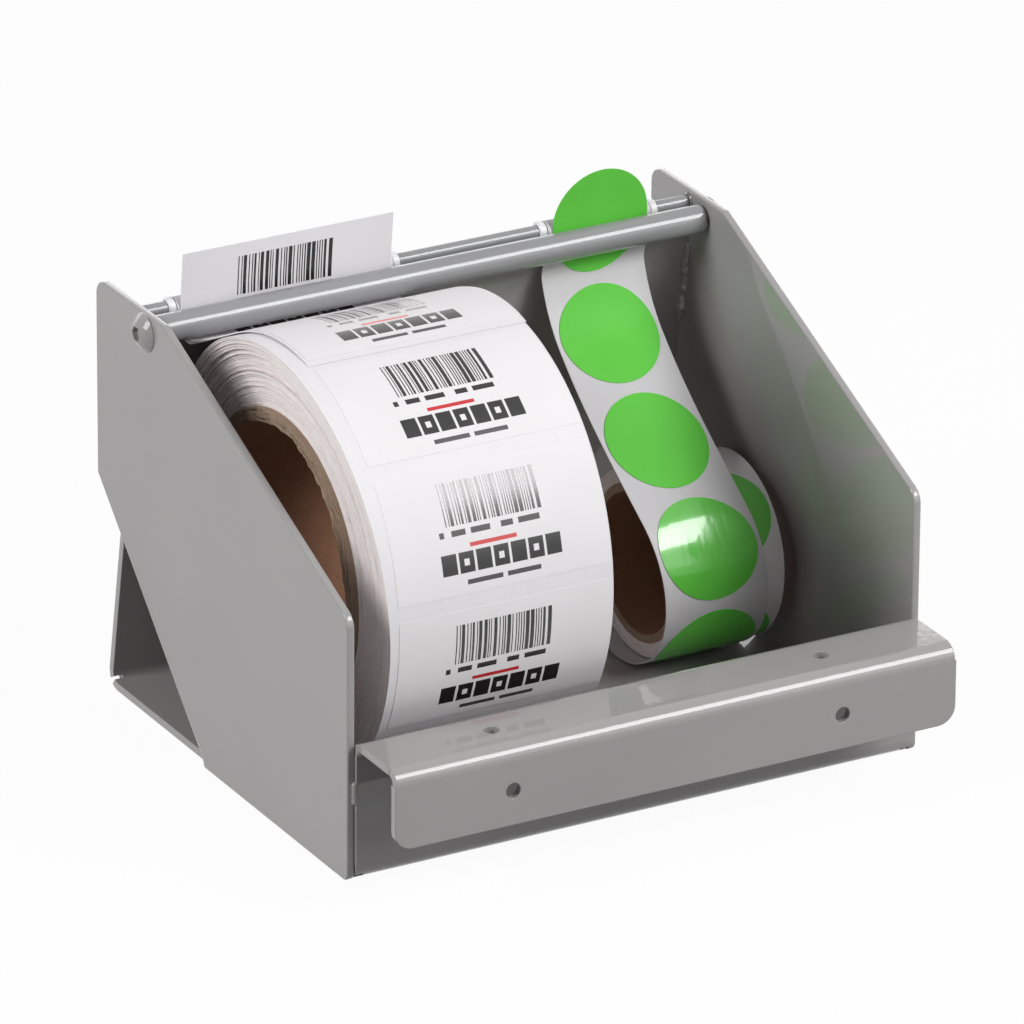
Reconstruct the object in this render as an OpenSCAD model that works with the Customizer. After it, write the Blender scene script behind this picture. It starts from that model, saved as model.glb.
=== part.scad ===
// Desk label dispenser: two side panels, one folded tray, two bars and two label rolls.
// X runs along the bars, Y to the back, Z up. The origin is under the middle of the box.

/* [Sheet metal] */
// Clear width between the side panels
inner_w = 169.6; // [150:0.2:210]
// Thickness of the painted sheet
sheet = 2.2; // [1.6:0.1:2.8]
// Inside radius of every bend
bend_r = 2.2; // [1:0.1:3]

/* [Side panels] */
// Depth of a side panel, front edge to rear edge
panel_depth = 142.7; // [136:0.1:175]
// Height of a side panel
panel_h = 120; // [114:0.5:145]
// Length of the level top edge, from the rear corner
top_run = 39; // [34:0.5:46]
// Height of the front nose, where the sloping edge ends
nose_h = 75.6; // [62:0.1:92]
// Height of the lower end of the rear edge
rear_edge_z = 63.1; // [50:0.1:76]
// Length that the sloping heel takes off the bottom edge
heel_run = 61.4; // [50:0.1:74]
// Short upright step at the foot of the sloping heel
heel_step = 2.6; // [1:0.1:5]

/* [Tray] */
// Reach of the front lip, panel edge to lip face
lip_reach = 22.8; // [19:0.1:28]
// Height of the top of the lip
lip_h = 40.6; // [33:0.1:49]
// Height of the lip's front flange, bend included
lip_drop = 22.5; // [18:0.1:27]
// How far the front wall stands proud of the panel edges
wall_proud = 1; // [0.4:0.1:1.6]
// How far the front flange stands out beyond the rest of the tray at each side
flange_side = 0.3; // [0:0.05:0.8]
// Lean of the back, from upright
back_lean = 9.65; // [7:0.05:11]
// Height of the top edge of the back
back_h = 107.5; // [90:0.5:109]
// Distance from the panels' rear edge to the corner of floor and back
heel_inset = 2.3; // [1.8:0.1:5]
// Length of the relief slit at each end of the bends beside the floor
relief_len = 2.6; // [1:0.1:4]
// Width of that slit, along the bent sheet
relief_w = 1.3; // [0.8:0.1:2]
// Diameter of the four fixing holes in the lip
hole_d = 4.4; // [3.4:0.1:6.4]
// Spacing of a pair of fixing holes
hole_pitch = 100; // [60:1:120]
// Distance from the lip face to the holes in its plate
plate_hole_y = 12; // [9:0.1:14]
// Distance from the lip's top to the holes in its flange
flange_hole_z = 12.6; // [8:0.1:15]

/* [Bars] */
// Diameter of the guide bar
bar_d = 8; // [6:0.1:9]
// Distance from the panels' rear edge to the guide bar
bar_inset = 28.65; // [26:0.05:32]
// Distance from the panels' top edge down to the guide bar
bar_drop = 5.5; // [5:0.1:8]
// Diameter of the peel rod
rod_d = 4; // [3:0.1:4.6]
// Distance from the guide bar back to the peel rod
rod_behind = 8; // [7.6:0.1:9.5]
// Height of the peel rod above the guide bar
rod_above = 2.1; // [1:0.1:3]
// Diameter of the screws that hold the guide bar
screw_d = 5; // [4:0.5:5]
// Diameter of a screw head
head_d = 11; // [8:0.1:11]
// Height of a screw head
head_h = 3; // [2:0.1:4]

/* [Guide rings] */
// Outer diameter of a guide ring
ring_d = 5.6; // [5.6:0.1:7.6]
// Width of a guide ring
ring_w = 2.2; // [1.6:0.1:3]

/* [Wide roll] */
// Gap from the left panel to the wide roll
wide_side_gap = 13.4; // [9:0.1:18]
// Width of the backing paper
wide_w = 65.5; // [50:0.5:70]
// Length of a wide label, along the paper
label_len = 34; // [20:0.5:48]
// Bare edge of the backing paper beside a label
label_edge = 0.8; // [0.5:0.05:3]
// Angle from level, at the back, to the first label on the roll
label_phase = -4.5; // [-18:0.5:18]
// Outer diameter of the roll over its labels
wide_d = 122; // [100:0.5:123]
// Bore of the cardboard core
wide_bore = 76.2; // [50:0.1:78]
// Wall of the cardboard core
wide_core_wall = 3.6; // [2:0.1:5]
// Thickness of the loose outer wraps
loose_wraps = 3.2; // [1.5:0.1:4]
// Play between the tight winding and the loose wraps, on the radius
loose_play = 0.3; // [0.1:0.1:3]
// How far the loose wraps spread to the right, beyond the width of the paper
spread = 2; // [0:0.1:3]
// How far the tight winding lies behind the wraps at the left end
telescope = 0.8; // [0:0.1:1.5]
// Gap from the wide roll to the leaning back
wide_back_gap = 0.4; // [0.4:0.1:6]
// Sideways run of the wide web from roll to bars
wide_slew = -4.9; // [-6:0.1:2]

/* [Narrow roll] */
// Gap from the narrow roll to the right panel
narrow_side_gap = 4.6; // [2:0.1:7]
// Width of its backing paper
narrow_w = 32; // [26:0.5:33]
// Outer diameter of the winding that is left on the core
narrow_d = 52.6; // [46:0.1:60]
// Bore of its cardboard core
narrow_bore = 40; // [30:0.5:41]
// Wall of its cardboard core
narrow_core_wall = 2.4; // [1.5:0.1:2.5]
// Distance from the panels' rear edge to the middle of the narrow roll
narrow_inset = 57.5; // [50:0.1:72]
// How far the loose strip lies to the left of its roll
strip_shift = 4.9; // [0:0.1:6]
// Sideways run of the strip from roll to bars
narrow_slew = -6.8; // [-9:0.1:0]
// Sideways run of the strip between the bars, back to the right
bar_skew = 2.9; // [0:0.1:4]
// Diameter of a round label
dot_d = 29.5; // [20:0.5:30]
// Bare paper between two round labels
dot_gap = 3.6; // [1:0.1:8]
// Radius of the bend that turns the strip up to the bars
strip_bend = 40; // [25:0.5:44]
// Straight stretch of the strip below the peel rod
strip_stand = 1; // [0.5:0.1:10]

/* [Paper] */
// Thickness of a web of backing paper
web_t = 0.3; // [0.2:0.05:0.4]
// Thickness of a label
label_t = 0.2; // [0.1:0.05:0.3]
// Running gap between a roll or web and what it passes
run_gap = 0.3; // [0.2:0.05:0.5]
// Length of the liner that hangs down behind the back
liner_tail = 46; // [20:1:80]
// Height of a peeled label above the peel rod
peel_rise = 16.5; // [8:0.5:20]

/* [Hidden] */
$fn = 72;
// Gap under a label on a curve
label_gap = 0.1;
// Gap between two faces that lie on each other
seat_gap = 0.05;
// Lap of a flat of the folded sheet into the bend beside it
fold_lap = 0.3;
// Clearance of the ends of a bend, where the sheet bulges, to the side panels
bend_play = 0.1;
// Allowance for the flats of a web on a tight turn
flat_play = 0.05;
// Largest turn and longest run between two stations of a paper path, and the shortest run
step_turn = 6;
step_len = 4;
step_min = 0.1;

paint = [0.62, 0.62, 0.61];
paper = [0.95, 0.95, 0.96];
card = [0.62, 0.48, 0.36];
green = [0.35, 0.76, 0.27];

// Main planes
half_w = inner_w / 2;
y_lip = -(panel_depth + lip_reach) / 2;
y_edge = y_lip + lip_reach;
y_rear = y_edge + panel_depth;

// Bars
bar = [y_rear - bar_inset, panel_h - bar_drop];
rod = [bar[0] + rod_behind, bar[1] + rod_above];
screw_play = 0.15;
thread_play = 0.05;
screw_len = 16;
socket_af = 4;
socket_depth = 1.8;
dome_share = 0.62;

// Radius at which the web turns over the peel rod, and the line it climbs on
rod_turn = rod_d / 2 + run_gap + web_t / 2 + flat_play;
y_climb = rod[0] - rod_turn;
bar_turn = y_climb - bar[0];

// Wide roll: it lies on the floor and just clears the back
wide_x = -half_w + wide_side_gap;
wide_r = wide_d / 2;
wide_z = sheet + run_gap + wide_r;
back_front = [y_rear - heel_inset - sheet / 2 / cos(back_lean), sheet / 2];
wide_y = back_front[0] - (wide_z - back_front[1]) * tan(back_lean)
    - (wide_r + wide_back_gap) / cos(back_lean);
wraps_r = wide_r - label_t - seat_gap;
tight_r = wraps_r - loose_wraps - loose_play - run_gap;
core_r = wide_bore / 2 + wide_core_wall;
label_space = 3;
label_count = floor(2 * PI * wide_r / (label_len + label_space));

// Narrow roll: it lies on the loose end of its own strip
narrow_x = half_w - narrow_side_gap - narrow_w;
narrow_r = narrow_d / 2;
narrow_core_r = narrow_bore / 2 + narrow_core_wall;
strip_r = narrow_r + label_gap + label_t + run_gap + web_t / 2;
narrow_z = sheet + run_gap + label_gap + label_t + web_t / 2 + strip_r;
narrow_y = y_rear - narrow_inset;
dot_pitch = dot_d + dot_gap;

// A path is a start pose [y, z, heading] and legs of [length, turn]; a leg with no turn is straight
function leg_end(p, l, turn) = turn == 0
    ? [p[0] + l * cos(p[2]), p[1] + l * sin(p[2]), p[2]]
    : let (r = l / (turn * PI / 180))
      [p[0] + r * (sin(p[2] + turn) - sin(p[2])), p[1] - r * (cos(p[2] + turn) - cos(p[2])), p[2] + turn];
function pose(p, legs, s, i = 0) = i == len(legs) ? p
    : s <= legs[i][0] ? leg_end(p, s, legs[i][1] * s / legs[i][0])
    : pose(leg_end(p, legs[i][0], legs[i][1]), legs, s - legs[i][0], i + 1);
function path_len(legs, i = 0) = i == len(legs) ? 0 : legs[i][0] + path_len(legs, i + 1);
// Length of a path before leg i, and the stations at which its curves are followed between s0 and s1
function len_before(legs, i) = i == 0 ? 0 : legs[i - 1][0] + len_before(legs, i - 1);
function stations(legs, s0, s1) = concat([s0], [for (i = [0 : len(legs) - 1])
    let (n = max(ceil(abs(legs[i][1]) / step_turn), ceil(legs[i][0] / step_len)))
    for (k = [0 : n - 1]) let (s = len_before(legs, i) + legs[i][0] * k / n)
    if (s > s0 + step_min && s < s1 - step_min) s], [s1]);
function arc_leg(r, turn) = [r * abs(turn) * PI / 180, turn];
function smooth(k) = k * k * (3 - 2 * k);
// Sideways shift at s, for runs of [shift, from, until]
function slew_at(s, runs, i = 0) = i == len(runs) ? 0
    : slew_at(s, runs, i + 1) + runs[i][0] * smooth(min(1, max(0, (s - runs[i][1])
        / (runs[i][2] - runs[i][1]))));
function lift(p, x, n) = [x, p[0] - n * sin(p[2]), p[1] + n * cos(p[2])];

// Wide web: off the top of the roll, under the guide bar and up to the peel rod
web_r = wide_r + run_gap + web_t / 2;
bar_far = norm(bar - [wide_y, wide_z]);
leave_at = atan2(bar[1] - wide_z, bar[0] - wide_y) + acos((web_r + bar_turn) / bar_far);
take_off = 16;
wide_start = [wide_y + web_r * cos(leave_at + take_off), wide_z + web_r * sin(leave_at + take_off),
    leave_at + take_off - 90];
wide_rise = [arc_leg(web_r, -take_off), [sqrt(bar_far ^ 2 - (web_r + bar_turn) ^ 2), 0],
    arc_leg(bar_turn, 180 - leave_at), [rod[1] - bar[1], 0]];
wide_rise_len = path_len(wide_rise);
wide_runs = [[wide_slew, 0, wide_rise_len - bar_turn]];

// Narrow strip: from under the roll round its front and up to the peel rod
strip_from = -60;
strip_across = [y_climb - strip_bend - narrow_y, rod[1] - strip_stand - narrow_z];
strip_far = norm(strip_across);
strip_leave = atan2(strip_across[1], strip_across[0]) + acos((strip_r + strip_bend) / strip_far);
narrow_start = [narrow_y + strip_r * cos(strip_from), narrow_z + strip_r * sin(strip_from),
    strip_from - 90];
narrow_rise = [arc_leg(strip_r, strip_leave - 360 - strip_from),
    [sqrt(strip_far ^ 2 - (strip_r + strip_bend) ^ 2), 0],
    arc_leg(strip_bend, 180 - strip_leave), [strip_stand, 0]];
narrow_rise_len = path_len(narrow_rise);
slew_from = 0.2;
slew_until = 0.77;
skew_run = 10;
skew_end = narrow_rise_len - ring_d / 2;
narrow_runs = [[narrow_slew, slew_from * narrow_rise_len, slew_until * narrow_rise_len],
    [bar_skew, skew_end - skew_run, skew_end]];

// The liner turns over the peel rod and hangs along the back; a peeled label goes straight on
over_rod = [arc_leg(rod_turn, back_lean - 180), [liner_tail, 0]];
peel_tilt = 6;
peel_curl = 6;
peel_on = [[peel_curl, peel_tilt], [peel_rise, 0]];
ring_gap = 0.15;
wide_web_x = wide_x + spread + wide_slew;
narrow_web_x = narrow_x - strip_shift + narrow_slew + bar_skew;
ring_x = [wide_web_x - ring_gap - ring_w, wide_web_x + wide_w + ring_gap,
    narrow_web_x - ring_gap - ring_w, narrow_web_x + narrow_w + ring_gap];

// Draws in the Y-Z plane and extrudes along X, from x0 over w
module along_x(x0, w) {
    translate([x0, 0, 0]) rotate([90, 0, 90]) linear_extrude(w) children();
}

// Turns a shape that is made round Z so that it lies round X at [y, z]
module round_x(x0, at) {
    translate([x0, at[0], at[1]]) rotate([90, 0, 90]) children();
}

// Outline of [x, y, radius] corners, all convex
module rounded_outline(corners) {
    n = len(corners);
    at = [for (c = corners) [c[0], c[1]]];
    inward = [for (i = [0 : n - 1])
        let (u = (at[(i + n - 1) % n] - at[i]) / norm(at[(i + n - 1) % n] - at[i]))
        let (v = (at[(i + 1) % n] - at[i]) / norm(at[(i + 1) % n] - at[i]))
        [u, v, acos(u * v) / 2]];
    polygon([for (i = [0 : n - 1]) for (e = [0, 1])
        at[i] + inward[i][e] * corners[i][2] / tan(inward[i][2])]);
    for (i = [0 : n - 1]) {
        middle = inward[i][0] + inward[i][1];
        translate(at[i] + middle / norm(middle) * corners[i][2] / sin(inward[i][2])) circle(corners[i][2]);
    }
}

module side_panel(x0) {
    foot_r = 2.5;
    step_r = 0.6;
    heel_r = 1;
    rear_r = 1.5;
    crown_r = 4.5;
    slope_r = 3;
    nose_r = 5;
    color(paint) difference() {
        along_x(x0, sheet) rounded_outline([
            [y_edge, 0, foot_r], [y_rear - heel_run, 0, step_r], [y_rear - heel_run, heel_step, heel_r],
            [y_rear, rear_edge_z, rear_r], [y_rear, panel_h, crown_r], [y_rear - top_run, panel_h, slope_r],
            [y_edge, nose_h, nose_r]]);
        round_x(x0 - 1, bar) cylinder(h = sheet + 2, d = screw_d + 2 * screw_play);
    }
}

module left_side_panel() side_panel(-half_w - sheet);

module right_side_panel() side_panel(half_w);

// The tray is one sheet: flange, plate, front wall, floor and back, with a bend between each two
fold_r = bend_r + sheet / 2;
wall_mid = y_edge - wall_proud + sheet / 2;
heel_turn = 90 + back_lean;
heel_reach = fold_r * tan(heel_turn / 2);
flange_half = half_w + flange_side;
tray_start = [y_lip + sheet / 2, lip_h - lip_drop, 90];
floor_len = y_rear - heel_inset - heel_reach - wall_mid - fold_r;
back_foot = sheet / 2 + heel_reach * cos(back_lean);
tray_legs = [
    [lip_drop - sheet / 2 - fold_r, 0], arc_leg(fold_r, -90),
    [wall_mid - y_lip - sheet / 2 - 2 * fold_r, 0], arc_leg(fold_r, -90),
    [lip_h - sheet - 2 * fold_r, 0], arc_leg(fold_r, 90),
    [floor_len, 0], arc_leg(fold_r, heel_turn),
    [(back_h - back_foot) / cos(back_lean), 0]];
floor_bends = [5, 7];

function tray_pose(i) = i == 0 ? tray_start
    : leg_end(tray_pose(i - 1), tray_legs[i - 1][0], tray_legs[i - 1][1]);

// Puts a ring section, drawn from the axis of bend i, at the turn from a0 over a1 of that bend
module bend_ring(i, a0, a1) {
    p = tray_pose(i);
    turn = tray_legs[i][1];
    side = sign(turn);
    round_x(0, [p[0] - side * fold_r * sin(p[2]), p[1] + side * fold_r * cos(p[2])])
        rotate(p[2] - side * 90 + min(0, turn) + a0) rotate_extrude(angle = a1) children();
}

// One flat or one bend of the folded sheet
module tray_leg(i) {
    p = tray_pose(i);
    l = tray_legs[i][0];
    turn = tray_legs[i][1];
    if (turn == 0) {
        end_lap = i < len(tray_legs) - 1 ? fold_lap : 0;
        round_x(-half_w, [p[0], p[1]]) rotate(p[2]) translate([-fold_lap, -sheet / 2, 0])
            cube([l + fold_lap + end_lap, sheet, inner_w]);
    } else {
        bend_ring(i, 0, abs(turn)) translate([bend_r, bend_play - half_w])
            square([sheet, inner_w - 2 * bend_play]);
    }
}

// The slits in the middle of bend i, one at each end
module bend_slits(i) {
    cut = relief_w / fold_r * 180 / PI;
    for (end = [-half_w - 1, half_w - relief_len])
        bend_ring(i, (abs(tray_legs[i][1]) - cut) / 2, cut)
            translate([0, end]) square([bend_r + sheet + 1, relief_len + 1]);
}

// The flange has rounded lower corners, so it is cut from an outline
module lip_flange() {
    corner_r = 5.2;
    edge_r = 0.3;
    bottom = lip_h - lip_drop;
    top = lip_h - sheet / 2 - fold_r + fold_lap;
    translate([0, y_lip + sheet, 0]) rotate([90, 0, 0]) linear_extrude(sheet) rounded_outline([
        [-flange_half, bottom, corner_r], [flange_half, bottom, corner_r],
        [flange_half, top, edge_r], [-flange_half, top, edge_r]]);
}

module folded_tray() {
    color(paint) difference() {
        union() {
            lip_flange();
            for (i = [1 : len(tray_legs) - 1]) tray_leg(i);
        }
        for (i = floor_bends) bend_slits(i);
        for (side = [-1, 1]) {
            translate([side * hole_pitch / 2, y_lip + plate_hole_y, lip_h - 2 * sheet])
                cylinder(h = 3 * sheet, d = hole_d);
            translate([side * hole_pitch / 2, y_lip + 2 * sheet, lip_h - flange_hole_z])
                rotate([90, 0, 0]) cylinder(h = 3 * sheet, d = hole_d);
        }
    }
}

// Fillet welds in the corners between the back and the side panels
module back_seam_welds() {
    bead_r = 1.4;
    bead_len = 26;
    up_the_back = 0.85;
    last = len(tray_legs) - 1;
    p = tray_pose(last);
    color(paint) for (side = [-1, 1])
        round_x(side * half_w, [p[0], p[1]]) rotate(p[2])
            translate([tray_legs[last][0] * up_the_back - bead_len / 2, sheet / 2, 0]) rotate([0, 90, 0])
            intersection() {
                cylinder(h = bead_len, r = bead_r);
                translate([side > 0 ? 0 : -bead_r, 0, 0]) cube([bead_r, bead_r, bead_len]);
            }
}

// Fillet welds along the front wall, on the panel edges beside it
module front_seam_welds() {
    bead_len = 7;
    up_the_wall = 0.63;
    color(paint) for (side = [-1, 1])
        translate([side * half_w, y_edge, lip_h * up_the_wall - bead_len / 2]) intersection() {
            cylinder(h = bead_len, r = wall_proud);
            translate([side > 0 ? 0 : -wall_proud, -wall_proud, 0])
                cube([wall_proud, wall_proud, bead_len]);
        }
}

module guide_bar() {
    bore_len = 18;
    end_land = 0.2;
    end_r = min(1.2, (bar_d - screw_d) / 2 - end_land);
    color(paint) round_x(0, bar) difference() {
        rotate_extrude() {
            translate([0, -half_w]) square([bar_d / 2 - end_r, inner_w]);
            translate([0, -half_w + end_r]) square([bar_d / 2, inner_w - 2 * end_r]);
            for (end = [-1, 1]) translate([bar_d / 2 - end_r, end * (half_w - end_r)]) circle(end_r);
        }
        for (end = [-half_w - 1, half_w + 1 - bore_len])
            translate([0, 0, end]) cylinder(h = bore_len, d = screw_d + 2 * thread_play);
    }
}

// Button-head screw: the head stands on z = 0, the shank points down
module button_screw() {
    dome_r = head_d * dome_share;
    difference() {
        rotate_extrude() {
            intersection() {
                translate([0, head_h - dome_r]) circle(dome_r);
                square([head_d / 2, head_h]);
            }
            translate([0, -screw_len]) square([screw_d / 2, screw_len + head_h / 4]);
        }
        translate([0, 0, head_h - socket_depth]) cylinder(h = head_h, d = socket_af / cos(30), $fn = 6);
    }
}

module guide_bar_screws() {
    color(paint) for (side = [-1, 1])
        round_x(side * (half_w + sheet), bar) rotate([0, side > 0 ? 0 : 180, 0]) button_screw();
}

module peel_rod() {
    color(paint) round_x(-half_w, rod) cylinder(h = inner_w, d = rod_d);
}

// Fillet welds round the ends of the peel rod
module peel_rod_welds() {
    fillet = 0.6;
    color(paint) for (side = [-1, 1])
        round_x(side * half_w, rod) rotate([0, side > 0 ? 180 : 0, 0]) rotate_extrude()
            translate([rod_d / 2 + seat_gap, 0]) polygon([[0, 0], [fillet, 0], [0, fillet]]);
}

module guide_ring(i) {
    play = 0.06;
    edge = 0.4;
    bore = rod_d / 2 + play;
    color([0.95, 0.95, 0.95]) round_x(ring_x[i - 1], rod) rotate_extrude() polygon([
        [bore, 0], [ring_d / 2 - edge, 0], [ring_d / 2, edge],
        [ring_d / 2, ring_w - edge], [ring_d / 2 - edge, ring_w], [bore, ring_w]]);
}

module tube_x(x0, at, w, inner_r, outer_r) {
    round_x(x0, at) difference() {
        cylinder(h = w, r = outer_r, $fn = 144);
        translate([0, 0, -1]) cylinder(h = w + 2, r = inner_r, $fn = 144);
    }
}

// The tight winding and its core have sunk to the bottom of the loose wraps
sunk = [wide_y, wide_z - loose_play];

module wide_roll_core() {
    color(card) tube_x(wide_x + telescope, sunk, wide_w, wide_bore / 2, core_r);
}

module wide_roll_winding() {
    color(paper) tube_x(wide_x + telescope, sunk, wide_w, core_r + seat_gap, tight_r);
}

module wide_roll_outer_wraps() {
    color(paper) tube_x(wide_x, [wide_y, wide_z], wide_w + spread, wraps_r - loose_wraps, wraps_r);
}

module wide_roll_labels() {
    span = label_len / wide_r * 180 / PI;
    color(paper) for (i = [0 : label_count - 1])
        round_x(wide_x + spread + label_edge, [wide_y, wide_z]) rotate(label_phase + i * 360 / label_count)
            rotate_extrude(angle = span, $fn = 144) translate([wraps_r + seat_gap, 0])
            square([label_t, wide_w - 2 * label_edge]);
}

// A band of paper along a path, from s0 to s1 and from x0 over w, with its faces n0 and n1 off the path
module ribbon(start, legs, s0, s1, x0, w, n0, n1, runs) {
    rows = [for (s = stations(legs, s0, s1)) [pose(start, legs, s), x0 + slew_at(s, runs)]];
    steps = len(rows) - 1;
    points = [for (r = rows) for (c = [[0, n0], [w, n0], [w, n1], [0, n1]]) lift(r[0], r[1] + c[0], c[1])];
    sides = [for (i = [0 : steps - 1]) for (c = [0 : 3])
        let (a = 4 * i + c, b = 4 * i + (c + 1) % 4) each [[a, b, b + 4], [a, b + 4, a + 4]]];
    e = 4 * steps;
    polyhedron(points, concat(sides, [[0, 3, 2], [0, 2, 1], [e, e + 1, e + 2], [e, e + 2, e + 3]]));
}

// A round label on a path, centred at s and x, with its faces n0 and n1 off the path
module dot(start, legs, s, x, n0, n1, runs) {
    around = 36;
    rings = 4;
    levels = [n0, n1];
    points = [for (n = levels) each concat(
        [lift(pose(start, legs, s), x + slew_at(s, runs), n)],
        [for (j = [1 : rings]) for (k = [0 : around - 1])
            let (r = dot_d / 2 * j / rings, a = k * 360 / around, t = s + r * sin(a))
            lift(pose(start, legs, t), x + slew_at(t, runs) + r * cos(a), n)])];
    layer = 1 + rings * around;
    function at(j, k) = 1 + (j - 1) * around + k % around;
    top = [for (k = [0 : around - 1]) each concat([[0, at(1, k + 1), at(1, k)]],
        [for (j = [1 : rings - 1]) each [[at(j, k), at(j, k + 1), at(j + 1, k + 1)],
            [at(j, k), at(j + 1, k + 1), at(j + 1, k)]]])];
    rim = [for (k = [0 : around - 1]) each [[at(rings, k), layer + at(rings, k), layer + at(rings, k + 1)],
        [at(rings, k), layer + at(rings, k + 1), at(rings, k + 1)]]];
    polyhedron(points, concat([for (t = top) [layer + t[0], layer + t[1], layer + t[2]]],
        [for (t = top) [t[2], t[1], t[0]]], rim));
}

web_half = web_t / 2;

module wide_liner_web() {
    legs = concat(wide_rise, over_rod);
    color(paper) ribbon(wide_start, legs, 0, path_len(legs), wide_x + spread, wide_w,
        -web_half, web_half, wide_runs);
}

module wide_peeled_label() {
    color(paper) ribbon(wide_start, concat(wide_rise, peel_on), wide_rise_len + peel_rise - label_len,
        wide_rise_len + peel_rise, wide_x + spread + label_edge, wide_w - 2 * label_edge,
        web_half + label_gap, web_half + label_gap + label_t, wide_runs);
}

module narrow_roll_core() {
    color(card) tube_x(narrow_x, [narrow_y, narrow_z], narrow_w, narrow_bore / 2, narrow_core_r);
}

module narrow_roll_winding() {
    color(paper) tube_x(narrow_x, [narrow_y, narrow_z], narrow_w, narrow_core_r + seat_gap, narrow_r);
}

module narrow_roll_dots() {
    turn = [[2 * PI * narrow_r, -360]];
    first = [narrow_y, narrow_z + narrow_r, 0];
    count = floor(2 * PI * narrow_r / dot_pitch);
    color(green) for (i = [0 : count - 1])
        dot(first, turn, (i + 0.5) * 2 * PI * narrow_r / count, narrow_x + narrow_w / 2,
            label_gap, label_gap + label_t, []);
}

module narrow_liner_web() {
    legs = concat(narrow_rise, over_rod);
    color(paper) ribbon(narrow_start, legs, 0, path_len(legs), narrow_x - strip_shift, narrow_w,
        -web_half, web_half, narrow_runs);
}

// The first round label is half peeled at the rod, the others follow down the strip
module narrow_dot(i) {
    color(green) dot(narrow_start, concat(narrow_rise, peel_on),
        narrow_rise_len + peel_rise - dot_d / 2 - (i - 1) * dot_pitch,
        narrow_x - strip_shift + narrow_w / 2,
        web_half + label_gap, web_half + label_gap + label_t, narrow_runs);
}

left_side_panel();
right_side_panel();
folded_tray();
back_seam_welds();
front_seam_welds();
guide_bar();
guide_bar_screws();
peel_rod();
peel_rod_welds();
for (i = [1 : 4]) guide_ring(i);
wide_roll_core();
wide_roll_winding();
wide_roll_outer_wraps();
wide_roll_labels();
wide_liner_web();
wide_peeled_label();
narrow_roll_core();
narrow_roll_winding();
narrow_roll_dots();
narrow_liner_web();
for (i = [1 : 5]) narrow_dot(i);
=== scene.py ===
import math
import random

import bmesh
import bpy
from mathutils import Matrix, Vector, noise
from mathutils.geometry import tessellate_polygon


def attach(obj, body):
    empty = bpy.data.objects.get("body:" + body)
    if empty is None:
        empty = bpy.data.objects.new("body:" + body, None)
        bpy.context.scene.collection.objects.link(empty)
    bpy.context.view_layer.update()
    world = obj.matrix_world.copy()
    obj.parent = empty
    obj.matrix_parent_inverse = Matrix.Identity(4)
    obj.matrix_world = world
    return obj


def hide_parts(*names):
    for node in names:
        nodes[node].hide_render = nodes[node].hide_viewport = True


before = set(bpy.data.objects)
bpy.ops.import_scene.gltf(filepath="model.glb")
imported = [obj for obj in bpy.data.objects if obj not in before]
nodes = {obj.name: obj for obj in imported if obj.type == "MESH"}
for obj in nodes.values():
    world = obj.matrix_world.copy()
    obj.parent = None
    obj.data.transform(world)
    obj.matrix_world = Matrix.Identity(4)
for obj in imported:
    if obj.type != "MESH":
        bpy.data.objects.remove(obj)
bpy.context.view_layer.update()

# Sizes of the CAD model that the pieces below follow, in millimetres
MM = 0.001
HALF_W, SHEET = 84.8, 2.2
PANEL_H, NOSE_H, TOP_RUN, LIP_H = 120.0, 75.6, 39.0, 40.6
REAR_EDGE_Z, HEEL_RUN, HEEL_STEP = 63.1, 61.4, 2.6
Y_EDGE, Y_REAR = -59.95, 82.75
BAR, ROD, ROD_TURN = (54.1, 114.5), (62.1, 116.6), 2.5
Y_CLIMB = ROD[0] - ROD_TURN
BAR_TURN = Y_CLIMB - BAR[0]
BACK_LEAN, BACK_FOOT, BACK_LEN = 9.65, (79.7948, 4.9532), 104.0187
WEB_T, LABEL_T, LABEL_GAP = 0.3, 0.2, 0.1
WEB_HALF = WEB_T / 2
LINER_TAIL, PEEL_RISE, PEEL_TILT, PEEL_CURL = 46.0, 16.5, 6.0, 6.0
WIDE_X, WIDE_W, SPREAD, WIDE_SLEW = -71.4, 65.5, 2.0, -4.9
WIDE_AT, WIDE_R = (6.4427, 63.5), 61.0
SUNK_AT = (6.4427, 63.2)
LABEL_LEN, LABEL_EDGE, LABEL_COUNT, LABEL_PHASE = 34.0, 0.8, 10, -4.5
NARROW_X, NARROW_W, STRIP_SHIFT = 48.2, 32.0, 4.9
NARROW_AT, NARROW_R = (25.25, 30.0), 26.3
NARROW_BORE, NARROW_CORE_R = 20.0, 22.4
NARROW_SLEW, BAR_SKEW, STRIP_BEND, STRIP_STAND = -6.8, 2.9, 40.0, 1.0
DOT_D, DOT_PITCH, RING_D = 29.5, 33.1, 5.6
# The round labels are a hair smaller than in the CAD model, so that none passes its box
DOT_R = DOT_D / 2 - 0.002

# Sizes of the pieces that are shaped here, in millimetres; the welds' places are shares of a length
CORE_BORE, CORE_R, CORE_OUT, CORE_TEAR = 38.1, 41.7, 1.4, 1.9
WOUND_IN, WOUND_OUT, WOUND_SHIFT = 41.75, 57.3, 0.8
WRAPS_IN, WRAPS_OUT, PRINTED_T = 57.32, 60.9, 0.08
NARROW_WOUND_IN = 22.45
LABEL_CORNER, WEB_LABEL_N = 0.4, (0.02, 0.14)
label_x = WIDE_X + SPREAD + LABEL_EDGE
DRAWN, DRAWN_FROM, DRAWN_SPAN = 3.0, 45.0, 15.5
REAR_WELD_AT, REAR_WELD_LEN, REAR_WELD_R = 0.85, 26.0, 1.4
FRONT_WELD_AT, FRONT_WELD_LEN, FRONT_WELD_R = 0.63, 7.0, 1.0


# Node materials

def srgb(r, g, b):
    out = []
    for v in (r, g, b):
        v /= 255
        out.append(v / 12.92 if v <= 0.04045 else ((v + 0.055) / 1.055) ** 2.4)
    return (*out, 1.0)


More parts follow.
